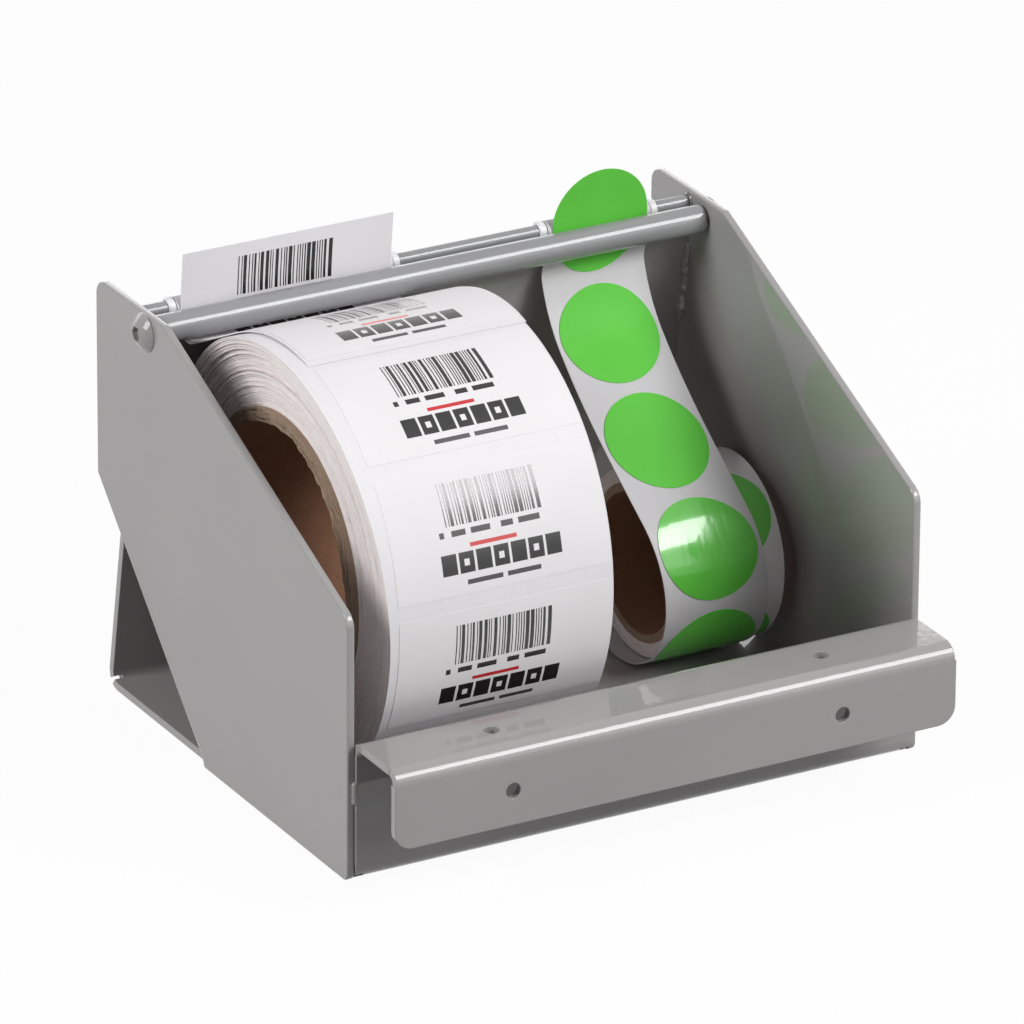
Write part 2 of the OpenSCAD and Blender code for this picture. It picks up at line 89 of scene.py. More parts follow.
class Nodes:
    """A material's node tree, with short calls for the nodes that are used here."""

    def __init__(self, name):
        self.mat = bpy.data.materials.new(name)
        self.mat.use_nodes = True
        self.tree = self.mat.node_tree
        self.tree.nodes.clear()
        self.out = self.add("ShaderNodeOutputMaterial")
        self.bsdf = self.add("ShaderNodeBsdfPrincipled")
        self.link(self.bsdf.outputs[0], self.out.inputs["Surface"])

    def add(self, kind, **values):
        node = self.tree.nodes.new(kind)
        for key, value in values.items():
            setattr(node, key, value)
        return node

    def link(self, a, b):
        self.tree.links.new(a, b)

    def feed(self, socket, value):
        if isinstance(value, bpy.types.NodeSocket):
            self.link(value, socket)
        else:
            socket.default_value = value

    def math(self, op, a, b=0.0, c=None, clamp=False):
        node = self.add("ShaderNodeMath", operation=op, use_clamp=clamp)
        self.feed(node.inputs[0], a)
        self.feed(node.inputs[1], b)
        if c is not None:
            self.feed(node.inputs[2], c)
        return node.outputs[0]

    def coords(self, scale=(1, 1, 1), shift=(0, 0, 0)):
        tc = self.add("ShaderNodeTexCoord")
        mp = self.add("ShaderNodeMapping")
        mp.inputs["Scale"].default_value = scale
        mp.inputs["Location"].default_value = shift
        self.link(tc.outputs["Object"], mp.inputs["Vector"])
        return mp.outputs[0]

    def uv(self, name):
        return self.add("ShaderNodeUVMap", uv_map=name).outputs[0]

    def split(self, vector):
        node = self.add("ShaderNodeSeparateXYZ")
        self.link(vector, node.inputs[0])
        return node.outputs

    def noise(self, vector, scale, detail=3.0, rough=0.55, dimensions="3D"):
        node = self.add("ShaderNodeTexNoise", noise_dimensions=dimensions)
        self.link(vector, node.inputs["Vector"])
        node.inputs["Scale"].default_value = scale
        node.inputs["Detail"].default_value = detail
        node.inputs["Roughness"].default_value = rough
        return node.outputs["Fac"]

    def ramp(self, fac, stops, constant=False):
        node = self.add("ShaderNodeValToRGB")
        self.link(fac, node.inputs["Fac"])
        ramp = node.color_ramp
        ramp.interpolation = "CONSTANT" if constant else "LINEAR"
        while len(ramp.elements) < len(stops):
            ramp.elements.new(0.5)
        for element, (at, colour) in zip(ramp.elements, sorted(stops, key=lambda s: s[0])):
            element.position = at
            element.color = colour if len(colour) == 4 else (*colour, 1.0)
        return node.outputs["Color"]

    def mix(self, fac, a, b):
        node = self.add("ShaderNodeMix", data_type="RGBA")
        self.feed(node.inputs["Factor"], fac)
        self.feed(node.inputs["A"], a)
        self.feed(node.inputs["B"], b)
        return node.outputs["Result"]

    def span(self, fac, low, high):
        node = self.add("ShaderNodeMapRange")
        self.link(fac, node.inputs["Value"])
        node.inputs["To Min"].default_value = low
        node.inputs["To Max"].default_value = high
        return node.outputs["Result"]

    def specks(self, scale, size, share, shift=(0, 0, 0)):
        """1 inside sparse dust specks, 0 elsewhere."""
        vor = self.add("ShaderNodeTexVoronoi")
        self.link(self.coords(shift=shift), vor.inputs["Vector"])
        vor.inputs["Scale"].default_value = scale
        near = self.math("LESS_THAN", vor.outputs["Distance"], size)
        pick = self.add("ShaderNodeSeparateColor")
        self.link(vor.outputs["Color"], pick.inputs["Color"])
        return self.math("MULTIPLY", near, self.math("GREATER_THAN", pick.outputs[0], 1 - share))

    def bump(self, height, distance, strength=1.0, under=None):
        node = self.add("ShaderNodeBump")
        self.link(height, node.inputs["Height"])
        node.inputs["Distance"].default_value = distance
        node.inputs["Strength"].default_value = strength
        if under is not None:
            self.link(under, node.inputs["Normal"])
        return node.outputs["Normal"]

    def finish(self, colour, rough, normal=None, **sockets):
        self.feed(self.bsdf.inputs["Base Color"], colour)
        self.feed(self.bsdf.inputs["Roughness"], rough)
        if normal is not None:
            self.link(normal, self.bsdf.inputs["Normal"])
        for key, value in sockets.items():
            self.bsdf.inputs[key.replace("_", " ")].default_value = value
        return self.mat


def paint_material(name, base, rough=(0.26, 0.36), edge=0.0004, painted_shade_from=None):
    """Glossy paint on steel: faint clouds, orange peel, edges painted paler as a painted highlight, a few
    specks of dust.
    Past a given distance from the middle, in metres, dark blots of painted shade lie where a bar meets the
    side panels."""
    n = Nodes(name)
    at = n.coords()

    def tone(k):
        return (*(min(1.0, c * k) for c in base[:3]), 1.0)

    colour = n.ramp(n.noise(at, 22.0, 4.0), [(0.3, tone(0.965)), (0.7, tone(1.035))])
    streak = n.noise(n.coords(scale=(30, 30, 420)), 1.0, 2.0)
    colour = n.mix(n.span(streak, 0.0, 0.10), colour, tone(1.12))
    bevel = n.add("ShaderNodeBevel", samples=6)
    bevel.inputs["Radius"].default_value = edge
    shape = n.add("ShaderNodeNewGeometry")
    along = n.add("ShaderNodeVectorMath", operation="DOT_PRODUCT")
    n.link(bevel.outputs[0], along.inputs[0])
    n.link(shape.outputs["Normal"], along.inputs[1])
    # The rounded edges are painted paler: a painted highlight along them
    wear_and_edge_highlight = n.math("MULTIPLY", n.math("SUBTRACT", 1.0, along.outputs["Value"]), 4.0, clamp=True)
    colour = n.mix(n.math("MULTIPLY", wear_and_edge_highlight, 0.25), colour, tone(1.5))
    pale = n.math("MULTIPLY", n.specks(70, 0.026, 0.05), 0.6)
    colour = n.mix(pale, colour, (0.66, 0.66, 0.64, 1))
    dark = n.math("MULTIPLY", n.specks(60, 0.024, 0.04, (0.3, 0.1, 0.7)), 0.7)
    colour = n.mix(dark, colour, (0.06, 0.055, 0.05, 1))
    # Past the given distance, near a bar's ends where it meets the side panels, brown-black blots are
    # painted shade
    if painted_shade_from is not None:
        out = n.math("SUBTRACT", n.math("ABSOLUTE", n.split(at)[0]), painted_shade_from)
        near = n.math("DIVIDE", out, 0.0012, clamp=True)
        blot = n.ramp(n.noise(at, 700.0, 3.0), [(0.40, (0, 0, 0)), (0.52, (1, 1, 1))])
        colour = n.mix(n.math("MULTIPLY", near, blot), colour, (0.055, 0.038, 0.028, 1))
    normal = n.bump(n.noise(at, 380.0, 2.0, 0.5), 0.00003, 0.25, under=bevel.outputs[0])
    fine = n.bump(n.noise(at, 2600.0, 1.0), 0.000012, 0.5, under=normal)
    n.link(normal, n.bsdf.inputs["Coat Normal"])
    return n.finish(colour, n.span(n.noise(at, 60.0, 3.0), *rough), fine, Coat_Weight=1.0,
                    Coat_Roughness=0.02, Coat_IOR=1.43, Specular_IOR_Level=0.08)


def plastic_material():
    n = Nodes("white_ring_plastic")
    at = n.coords()
    colour = n.ramp(n.noise(at, 260.0, 3.0), [(0.3, srgb(226, 225, 227)), (0.7, srgb(242, 241, 243))])
    lines = n.noise(n.coords(scale=(2200, 120, 120)), 1.0, 1.0)
    return n.finish(colour, n.span(lines, 0.34, 0.5), n.bump(lines, 0.00004, 0.6))


def card_material(name, base, deep):
    n = Nodes(name)
    at = n.coords()
    fibre = n.noise(n.coords(scale=(260, 900, 900)), 1.0, 5.0, 0.65)
    flock = n.noise(at, 180.0, 4.0)
    colour = n.mix(fibre, deep, base)
    pale = (*(min(1, c * 1.3) for c in base[:3]), 1)
    colour = n.mix(n.span(flock, 0.0, 0.5), colour, pale)
    colour = n.mix(n.math("MULTIPLY", n.specks(420, 0.16, 0.12), 0.5), colour, srgb(70, 52, 40))
    return n.finish(colour, n.span(fibre, 0.75, 0.95), n.bump(fibre, 0.0002, 0.9))


def paper_material(name, low, high, rough, streak_scale, bump=0.00002):
    n = Nodes(name)
    at = n.coords()
    streak = n.noise(n.coords(scale=streak_scale), 1.0, 3.0)
    cloud = n.noise(at, 35.0, 3.0)
    blend = n.math("ADD", n.math("MULTIPLY", streak, 0.6), n.math("MULTIPLY", cloud, 0.4))
    colour = n.mix(blend, low, high)
    fine = n.noise(at, 1500.0, 2.0)
    return n.finish(colour, n.span(streak, *rough), n.bump(fine, bump, 0.6), Specular_IOR_Level=0.15)


def roll_end_material():
    """Edges of the wound layers: fine rings that follow the radius from the roll's own axis."""
    n = Nodes("wound_paper_edge")
    radius, turn = n.split(n.uv("wind"))[:2]
    scaled = n.add("ShaderNodeCombineXYZ")
    n.link(n.math("MULTIPLY", radius, 5.5), scaled.inputs[0])
    n.link(n.math("MULTIPLY", turn, 1.2), scaled.inputs[1])
    line = n.noise(scaled.outputs[0], 1.0, 4.0, 0.7, "2D")
    colour = n.ramp(line, [(0.28, srgb(232, 218, 215)), (0.45, srgb(248, 241, 240)),
                           (0.62, srgb(252, 248, 247)), (0.8, srgb(241, 231, 229))])
    return n.finish(colour, n.span(line, 0.6, 0.8), n.bump(line, 0.00012, 0.8))


def bars(seed, count):
    """Seeded stripes for one print block: no code is in them."""
    draw = random.Random(seed)
    at, stops = 0.0, []
    for _ in range(count):
        wide = draw.choice((1, 1, 2, 3))
        gap = draw.choice((1, 1, 2))
        stops.append((at, wide))
        at += wide + gap
    return [(s / at, (s + w) / at) for s, w in stops]


# Print on a wide label, in millimetres from its lower left corner: u0, u1, v0, v1
LABEL_W = WIDE_W - 2 * LABEL_EDGE
PRINT_BARS = (17.0, 46.0, 18.4, 30.0)
PRINT_DASHES = [(14.6, 16.0), (18.2, 22.4), (24.0, 29.8), (33.0, 36.6), (38.2, 44.6)]
DASH_ROW = (15.6, 17.2)
PRINT_KEY, KEY_CELL = (14.0, 50.4, 5.6, 11.2), 5.2
KEY_FILL, KEY_WINDOW, KEY_INSET = 0.86, (0.28, 0.58), 1.9
BAR_SEEDS, BAR_COUNT = (3, 8), 14
PRINT_GREY = [(21.0, 31.6, 2.4, 3.7), (33.0, 43.0, 2.4, 3.7)]
PRINT_RED = [(23.0, 37.0, 12.2, 13.3)]


def label_material():
    n = Nodes("printed_label_paper")
    part = n.split(n.uv("label"))
    u = n.math("MULTIPLY", part[0], LABEL_W)
    v = n.math("MULTIPLY", part[1], LABEL_LEN)
    wear_and_edge_highlight = n.noise(n.coords(), 900.0, 2.0)

    def block(u0, u1, v0, v1):
        a = n.math("MULTIPLY", n.math("GREATER_THAN", u, u0), n.math("LESS_THAN", u, u1))
        b = n.math("MULTIPLY", n.math("GREATER_THAN", v, v0), n.math("LESS_THAN", v, v1))
        return n.math("MULTIPLY", a, b)

    def together(blocks):
        total = block(*blocks[0])
        for other in blocks[1:]:
            total = n.math("MAXIMUM", total, block(*other))
        return total

    u0, u1, v0, v1 = PRINT_BARS
    middle = (u0 + u1) / 2
    black = together([(a, b, *DASH_ROW) for a, b in PRINT_DASHES])
    for seed, (a, b) in zip(BAR_SEEDS, ((u0, middle), (middle, u1))):
        stops = []
        for start, end in bars(seed, BAR_COUNT):
            stops += [(start, (1, 1, 1)), (end, (0, 0, 0))]
        along = n.math("DIVIDE", n.math("SUBTRACT", u, a), b - a, clamp=True)
        lines = n.math("MULTIPLY", n.ramp(along, stops, constant=True), block(a, b, v0, v1))
        black = n.math("MAXIMUM", black, lines)
    k0, k1, w0, w1 = PRINT_KEY
    cell = n.math("DIVIDE", n.math("SUBTRACT", u, k0), KEY_CELL)
    place = n.math("FRACT", cell)
    body = n.math("MULTIPLY", n.math("LESS_THAN", place, KEY_FILL), block(k0, k1, w0, w1))
    window = n.math("MULTIPLY", n.math("GREATER_THAN", place, KEY_WINDOW[0]),
                    n.math("LESS_THAN", place, KEY_WINDOW[1]))
    window = n.math("MULTIPLY", window, block(k0, k1, w0 + KEY_INSET, w1 - KEY_INSET))
    odd = n.math("GREATER_THAN", n.math("FRACT", n.math("MULTIPLY", cell, 0.5)), 0.5)
    key = n.math("SUBTRACT", body, n.math("MULTIPLY", window, odd), clamp=True)
    black = n.math("MAXIMUM", black, key)
    paper = n.mix(n.noise(n.coords(), 40.0, 3.0), srgb(236, 233, 235), srgb(242, 240, 242))
    ink = n.mix(wear_and_edge_highlight, srgb(26, 24, 25), srgb(38, 36, 37))
    grey, red = together(PRINT_GREY), together(PRINT_RED)
    colour = n.mix(black, paper, ink)
    colour = n.mix(grey, colour, srgb(72, 70, 72))
    colour = n.mix(red, colour, srgb(206, 42, 50))
    fine = n.noise(n.coords(), 1400.0, 2.0)
    inked = n.math("MAXIMUM", black, n.math("MAXIMUM", grey, red))
    dull = n.span(n.noise(n.coords(), 55.0, 2.0), 0.55, 0.62)
    rough = n.math("SUBTRACT", dull, n.math("MULTIPLY", inked, 0.36))
    n.link(n.math("MULTIPLY_ADD", inked, 0.60, 0.05), n.bsdf.inputs["Specular IOR Level"])
    return n.finish(colour, rough, n.bump(fine, 0.00002, 0.5))


def green_material(name, rough, coat):
    n = Nodes(name)
    at = n.coords()
    cloud = n.noise(at, 40.0, 3.0)
    colour = n.ramp(cloud, [(0.3, srgb(98, 203, 70)), (0.7, srgb(106, 211, 78))])
    wave = n.noise(n.coords(scale=(220, 60, 60)), 1.0, 3.0)
    normal = n.bump(wave, 0.00022, 0.6)
    return n.finish(colour, n.span(n.noise(at, 90.0, 2.0), *rough), normal, Coat_Weight=coat,
                    Coat_Roughness=0.04, Specular_IOR_Level=0.5 if coat else 0.15)


LINER_STREAKS, EVEN_STREAKS = (520, 24, 24), (80, 80, 80)
paint = paint_material("grey_gloss_paint", srgb(159, 156, 156))
# The bars wear the same grey paint; their darker copy of it, and the blots at their ends, are painted shade
shaded_bar_paint = paint_material("grey_bar_paint_painted_shade", srgb(147, 147, 149), edge=0.0002, painted_shade_from=0.0832)
weld_paint = paint_material("grey_weld_paint", srgb(155, 152, 151), edge=0.0002)
# The peel rod's welds get a much darker copy of the paint and dark blots: painted shade in the corners at
# the rod's ends
shaded_weld_paint = paint_material("dark_weld_paint_painted_shade", srgb(124, 119, 116), edge=0.0002, painted_shade_from=0.0842)
plastic = plastic_material()
card = card_material("core_cardboard", srgb(176, 154, 134), srgb(130, 108, 90))
card_inside = card_material("core_cardboard_inside", srgb(164, 121, 93), srgb(121, 86, 64))
liner = paper_material("liner_paper_white", srgb(231, 228, 231), srgb(241, 239, 241), (0.5, 0.6),
                       LINER_STREAKS)
glassine = paper_material("liner_paper_glazed", srgb(204, 202, 205), srgb(217, 216, 218), (0.34, 0.44),
                          LINER_STREAKS)
wound = roll_end_material()
label_print = label_material()
label_back = paper_material("label_paper_plain", srgb(226, 224, 228), srgb(238, 236, 240), (0.4, 0.5),
                            EVEN_STREAKS)
green = green_material("green_gloss_label", (0.14, 0.2), 0.5)
green_satin = green_material("green_satin_label", (0.5, 0.58), 0.0)


# Meshes

def piece(name, points, faces, mats, body, stands_for=(), picks=None, uvs=None, sharp=35.0):
    """Makes one mesh piece from millimetre points, rides it on a body and hides the CAD nodes it stands for.
    """
    me = bpy.data.meshes.new(name)
    me.from_pydata([(x * MM, y * MM, z * MM) for x, y, z in points], [], faces)
    for m in mats:
        me.materials.append(m)
    if picks:
        me.polygons.foreach_set("material_index", picks)
    for layer_name, values in (uvs or {}).items():
        layer = me.uv_layers.new(name=layer_name)
        for loop in me.loops:
            layer.data[loop.index].uv = values[loop.vertex_index]
    me.update()
    bm = bmesh.new()
    bm.from_mesh(me)
    bmesh.ops.recalc_face_normals(bm, faces=bm.faces)
    bm.to_mesh(me)
    bm.free()
    me.shade_smooth()
    me.set_sharp_from_angle(angle=math.radians(sharp))
    ob = bpy.data.objects.new(name, me)
    bpy.context.scene.collection.objects.link(ob)
    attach(ob, body)
    if stands_for:
        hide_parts(*stands_for)
    return ob


def leg_end(p, length, turn):
    """Place and heading (y, z, degrees) after a leg that turns evenly over its length."""
    y, z, h = p
    if turn == 0:
        return (y + length * math.cos(math.radians(h)), z + length * math.sin(math.radians(h)), h)
    r = length / math.radians(turn)
    a, b = math.radians(h), math.radians(h + turn)
    return (y + r * (math.sin(b) - math.sin(a)), z - r * (math.cos(b) - math.cos(a)), h + turn)


def pose(p, legs, s):
    """Place and heading at a distance along a path of (length, turn) legs."""
    for i, (length, turn) in enumerate(legs):
        if s <= length or i == len(legs) - 1:
            return leg_end(p, s, turn * s / length)
        p = leg_end(p, length, turn)
        s -= length


def arc_leg(r, turn):
    return (r * abs(math.radians(turn)), turn)


def path_len(legs):
    return sum(leg[0] for leg in legs)


def slew_at(s, runs):
    """Sideways drift at a distance along a path: runs holds (shift, from, to), each eased."""
    total = 0.0
    for shift, start, until in runs:
        k = min(1.0, max(0.0, (s - start) / (until - start)))
        total += shift * k * k * (3 - 2 * k)
    return total


def lift(p, x, n):
    """The point x across and n above a place on a path."""
    h = math.radians(p[2])
    return (x, p[0] - n * math.sin(h), p[1] + n * math.cos(h))


def stations(legs, s0, s1, turn=2.0, run=1.5):
    """Places along a path, close together where it bends."""
    out, start = [s0], 0.0
    for length, bend in legs:
        steps = max(1, math.ceil(max(abs(bend) / turn, length / run)))
        for k in range(steps):
            s = start + length * k / steps
            if s0 + 0.05 < s < s1 - 0.05:
                out.append(s)
        start += length
    return out + [s1]


# Paper paths, with the formulas of the CAD source
WEB_CLEAR, TAKE_OFF, GAP_LEAD, STRIP_FROM = 0.3, 16.0, 2.0, -60.0
SLEW_SPAN, SKEW_RUN = (0.2, 0.77), 10.0
web_r = WIDE_R + WEB_CLEAR + WEB_HALF
bar_far = math.hypot(BAR[0] - WIDE_AT[0], BAR[1] - WIDE_AT[1])
leave_at = math.degrees(math.atan2(BAR[1] - WIDE_AT[1], BAR[0] - WIDE_AT[0])
                        + math.acos((web_r + BAR_TURN) / bar_far))
LABEL_STEP = 360 / LABEL_COUNT
LABEL_SPAN = math.degrees(LABEL_LEN / WIDE_R)
gap_at = LABEL_PHASE + 2 * LABEL_STEP + LABEL_SPAN + GAP_LEAD
lie_on = gap_at - leave_at
begin = math.radians(gap_at)
wide_start = (WIDE_AT[0] + web_r * math.cos(begin), WIDE_AT[1] + web_r * math.sin(begin), gap_at - 90)
wide_rise = [arc_leg(web_r, -lie_on), (math.sqrt(bar_far ** 2 - (web_r + BAR_TURN) ** 2), 0),
             arc_leg(BAR_TURN, 180 - leave_at), (ROD[1] - BAR[1], 0)]
wide_len = path_len(wide_rise)
settle_len = web_r * math.radians(lie_on - TAKE_OFF)
wide_runs = [(WIDE_SLEW, settle_len, wide_len - BAR_TURN)]

strip_r = NARROW_R + LABEL_GAP + LABEL_T + WEB_CLEAR + WEB_HALF
across = (Y_CLIMB - STRIP_BEND - NARROW_AT[0], ROD[1] - STRIP_STAND - NARROW_AT[1])
strip_far = math.hypot(*across)
strip_leave = math.degrees(math.atan2(across[1], across[0]) + math.acos((strip_r + STRIP_BEND) / strip_far))
first = math.radians(STRIP_FROM)
narrow_start = (NARROW_AT[0] + strip_r * math.cos(first), NARROW_AT[1] + strip_r * math.sin(first),
                STRIP_FROM - 90)
narrow_rise = [arc_leg(strip_r, strip_leave - 360 - STRIP_FROM),
               (math.sqrt(strip_far ** 2 - (strip_r + STRIP_BEND) ** 2), 0),
               arc_leg(STRIP_BEND, 180 - strip_leave), (STRIP_STAND, 0)]
narrow_len = path_len(narrow_rise)
skew_end = narrow_len - RING_D / 2
narrow_runs = [(NARROW_SLEW, SLEW_SPAN[0] * narrow_len, SLEW_SPAN[1] * narrow_len),
               (BAR_SKEW, skew_end - SKEW_RUN, skew_end)]

over_rod = [arc_leg(ROD_TURN, BACK_LEAN - 180), (LINER_TAIL, 0)]
peel_on = [(PEEL_CURL, PEEL_TILT), (PEEL_RISE, 0)]


def web_under(s):
    """How far the start of the wide web lies below its path, on the roll, and how thin it is there."""
    k = min(1.0, max(0.0, s / settle_len))
    return 0.28 * (1 - k) ** 2, min(1.0, 0.08 + s / 6.0)


def corner_steps(corner):
    """Places across a round corner, from the end of a band inwards."""
    return [corner * (1 - math.cos(math.radians(a))) for a in range(0, 91, 15)]


def corner_inset(end, corner):
    """How far a round corner takes the sides in, at a distance from the end."""
    return corner - math.sqrt(max(0.0, corner ** 2 - (corner - end) ** 2)) if end < corner else 0.0


def band_faces(base, count, columns, under):
    """Upper faces, lower faces and rim of a band of points: count rows above, then as many below."""
    wide = columns + 1
    layer = count * wide
    faces, picks = [], []
    for i in range(count - 1):
        for c in range(columns):
            a, b = base + i * wide + c, base + (i + 1) * wide + c
            faces += [(a, a + 1, b + 1, b), (layer + a, layer + b, layer + b + 1, layer + a + 1)]
            picks += [0, under]
    edge = [i * wide for i in range(count)] + [(count - 1) * wide + c for c in range(1, wide)]
    edge += [i * wide + columns for i in range(count - 2, -1, -1)] + list(range(columns - 1, 0, -1))
    for a, b in zip(edge, edge[1:] + edge[:1]):
        faces.append((base + a, base + b, base + layer + b, base + layer + a))
        picks.append(under)
    return faces, picks


def ribbon(name, start, legs, s0, s1, x0, w, n0, n1, runs, mats, body, stands_for, corner=0.0,
           uv_name=None, columns=14, sink=None):
    """A band of paper along a path; its corners may be round, and its upper face may carry a print."""
    places = stations(legs, s0, s1)
    if corner:
        near = corner_steps(corner)
        places = sorted(set(places + [s0 + d for d in near] + [s1 - d for d in near]))
    rows = [(s, corner_inset(min(s - s0, s1 - s), corner)) for s in places]
    points, uv = [], []
    for n in (n1, n0):
        for s, inset in rows:
            p, x = pose(start, legs, s), x0 + slew_at(s, runs)
            down, thin = sink(s) if sink else (0.0, 1.0)
            for c in range(columns + 1):
                across_w = inset + (w - 2 * inset) * c / columns
                points.append(lift(p, x + across_w, n0 + (n - n0) * thin - down))
                uv.append((across_w / w, (s - s0) / (s1 - s0)))
    faces, picks = band_faces(0, len(rows), columns, len(mats) - 1)
    return piece(name, points, faces, mats, body, stands_for, picks,
                 {uv_name: uv} if uv_name else None)


def dot(name, spots, radius, n0, n1, body, stands_for, face):
    """Round labels on paths: spots holds (start, legs, s, x, runs) for each. The rim is a little rounded."""
    around, rings = 72, 9
    points, faces, picks = [], [], []
    for start, legs, s, x, runs in spots:
        base = len(points)
        for n in (n1, n0):
            points.append(lift(pose(start, legs, s), x + slew_at(s, runs), n))
            for j in range(1, rings + 1):
                rr = radius * j / rings
                drop = (n1 - n0) * 0.35 if n == n1 and j == rings else 0.0
                for k in range(around):
                    a = 2 * math.pi * k / around
                    t = s + rr * math.sin(a)
                    at_x = x + slew_at(t, runs) + rr * math.cos(a)
                    points.append(lift(pose(start, legs, t), at_x, n - drop))
        layer = 1 + rings * around
        for up, off in ((True, base), (False, base + layer)):
            for k in range(around):
                k2 = (k + 1) % around
                tri = (off, off + 1 + k, off + 1 + k2)
                faces.append(tri if up else tri[::-1])
                picks.append(0 if up else 1)
                for j in range(rings - 1):
                    a, b = off + 1 + j * around, off + 1 + (j + 1) * around
                    quad = (a + k, b + k, b + k2, a + k2)
                    faces.append(quad if up else quad[::-1])
                    picks.append(0 if up else 1)
        rim = base + 1 + (rings - 1) * around
        for k in range(around):
            k2 = (k + 1) % around
            faces.append((rim + k, rim + layer + k, rim + layer + k2, rim + k2))
            picks.append(0)
    return piece(name, points, faces, [face, label_back], body, stands_for, picks)


def around_x(at, r, a, x):
    """The point at radius r and angle a about an axis along x through at."""
    return (x, at[0] + r * math.cos(a), at[1] + r * math.sin(a))


def tube_faces(steps, size, special):
    """Faces of a closed section swept round an axis; special holds the materials of single strips."""
    faces, picks = [], []
    for k in range(steps):
        b0, b1 = k * size, (k + 1) % steps * size
        for i in range(size):
            j = (i + 1) % size
            faces.append((b0 + i, b0 + j, b1 + j, b1 + i))
            picks.append(special.get(i, 0))
    return faces, picks


def wound_roll(name, at, r0, r1, layers, ends, mats, body, stands_for, seed, swing, groove=0.08,
               steps=180, pull=None, outer_at=None):
    """A wound tube: each layer's ends lie a little off its neighbours', with a groove between two layers.
    The layers' middle may drift from one place to another, and their left ends may be pulled sideways."""
    draw = random.Random(seed)
    xl, xr = ends
    cut = [r0 + (r1 - r0) * i / layers for i in range(layers + 1)]
    for i in range(1, layers):
        cut[i] += draw.uniform(-0.22, 0.22) * (r1 - r0) / layers
    own = [(draw.uniform(0, swing), draw.uniform(0, 2 * math.pi), draw.uniform(0, swing * 0.5),
            draw.uniform(0, swing)) for _ in range(layers)]
    points, uv = [], []
    for k in range(steps):
        a = 2 * math.pi * k / steps
        in_left, in_right = [], []
        for i, (off, phase, amp, off_r) in enumerate(own):
            ruffle = amp * (1 + math.sin(a + phase)) / 2
            in_left.append(off + ruffle + (pull(a, (cut[i] + cut[i + 1]) / 2) if pull else 0.0))
            in_right.append(off_r + ruffle)
        left, right = [], []
        for i in range(layers):
            thin = (cut[i + 1] - cut[i]) * 0.12
            inner, outer = cut[i] + thin, cut[i + 1] - thin
            left += [(inner, xl + in_left[i]), (outer, xl + in_left[i])]
            right += [(inner, xr - in_right[i]), (outer, xr - in_right[i])]
            if i < layers - 1:
                left.append((cut[i + 1], xl + max(in_left[i:i + 2]) + groove))
                right.append((cut[i + 1], xr - max(in_right[i:i + 2]) - groove))
        left[0], left[-1] = (r0, left[0][1]), (r1, left[-1][1])
        right[0], right[-1] = (r0, right[0][1]), (r1, right[-1][1])
        ring = left + right[::-1]
        for r, x in ring:
            share = (r - r0) / (r1 - r0) if outer_at else 0.0
            middle = [p + (q - p) * share for p, q in zip(at, outer_at or at)]
            points.append(around_x(middle, r, a, x))
            uv.append((r, a / (2 * math.pi) * 40))
    faces, picks = tube_faces(steps, len(ring), {len(left) - 1: 1, len(ring) - 1: 2})
    return piece(name, points, faces, mats, body, stands_for, picks, {"wind": uv}, sharp=60.0)


def ragged_core(name, at, r0, r1, ends, body, stands_for, seed, tear, plies=6, steps=240):
    """A cardboard tube of thin plies whose ends are cut or torn unevenly."""
    draw = random.Random(seed)
    xl, xr = ends
    shift = [Vector((draw.uniform(0, 50), draw.uniform(0, 50), draw.uniform(0, 50))) for _ in range(plies)]
    cut = [r0 + (r1 - r0) * i / plies for i in range(plies + 1)]
    points = []
    for k in range(steps):
        a = 2 * math.pi * k / steps
        left, right = [], []
        for i in range(plies):
            at_a = Vector((math.cos(a) * 3.0, math.sin(a) * 3.0, 0)) + shift[i]
            rag = sum(share * abs(noise.noise(at_a * scale))
                      for share, scale in ((1.0, 1.6), (0.6, 6.0), (0.35, 17.0)))
            step = 0.35 if noise.noise(at_a * 0.7) > 0.1 else 0.0
            deep = min(1.0, rag * 0.8 + step) * tear
            jag = 0.10 * noise.noise(at_a * 21.0)
            left += [(cut[i] + 0.03 + jag * 0.3, xl + deep), (cut[i + 1] - 0.03, xl + deep * 0.9)]
            right += [(cut[i] + 0.03, xr - deep * 0.5), (cut[i + 1] - 0.03, xr - deep * 0.5)]
        left[0], left[-1] = (r0, left[0][1]), (r1, left[-1][1])
        right[0], right[-1] = (r0, right[0][1]), (r1, right[-1][1])
        ring = left + right[::-1]
        points += [around_x(at, r, a, x) for r, x in ring]
    faces, picks = tube_faces(steps, len(ring), {len(ring) - 1: 1})
    return piece(name, points, faces, [card, card_inside], body, stands_for, picks, sharp=50.0)


# Side panels: the CAD outline with the small round that paint and deburring leave on the edges
def outline(corners):
    """Points and outward normals of a convex outline of (y, z, radius) corners."""
    out = []
    count = len(corners)
    for i, (y, z, r) in enumerate(corners):
        p = Vector((y, z))
        u = (Vector(corners[i - 1][:2]) - p).normalized()
        v = (Vector(corners[(i + 1) % count][:2]) - p).normalized()
        half = u.angle(v) / 2
        middle = p + (u + v).normalized() * r / math.sin(half)
        n0 = Vector((u.y, -u.x))
        if n0.dot(v) > 0:
            n0 = -n0
        turn = math.pi - 2 * half
        sign = 1 if n0.cross(-u) > 0 else -1
        steps = max(4, round(math.degrees(turn) / 7))
        for k in range(steps + 1):
            t = sign * turn * k / steps
            n = Vector((n0.x * math.cos(t) - n0.y * math.sin(t),
                        n0.x * math.sin(t) + n0.y * math.cos(t)))
            out.append((middle + n * r, n))
    return out


PANEL_CORNERS = [(Y_EDGE, 0, 2.5), (Y_REAR - HEEL_RUN, 0, 0.6), (Y_REAR - HEEL_RUN, HEEL_STEP, 1.0),
                 (Y_REAR, REAR_EDGE_Z, 1.5), (Y_REAR, PANEL_H, 4.5), (Y_REAR - TOP_RUN, PANEL_H, 3.0),
                 (Y_EDGE, NOSE_H, 5.0)]


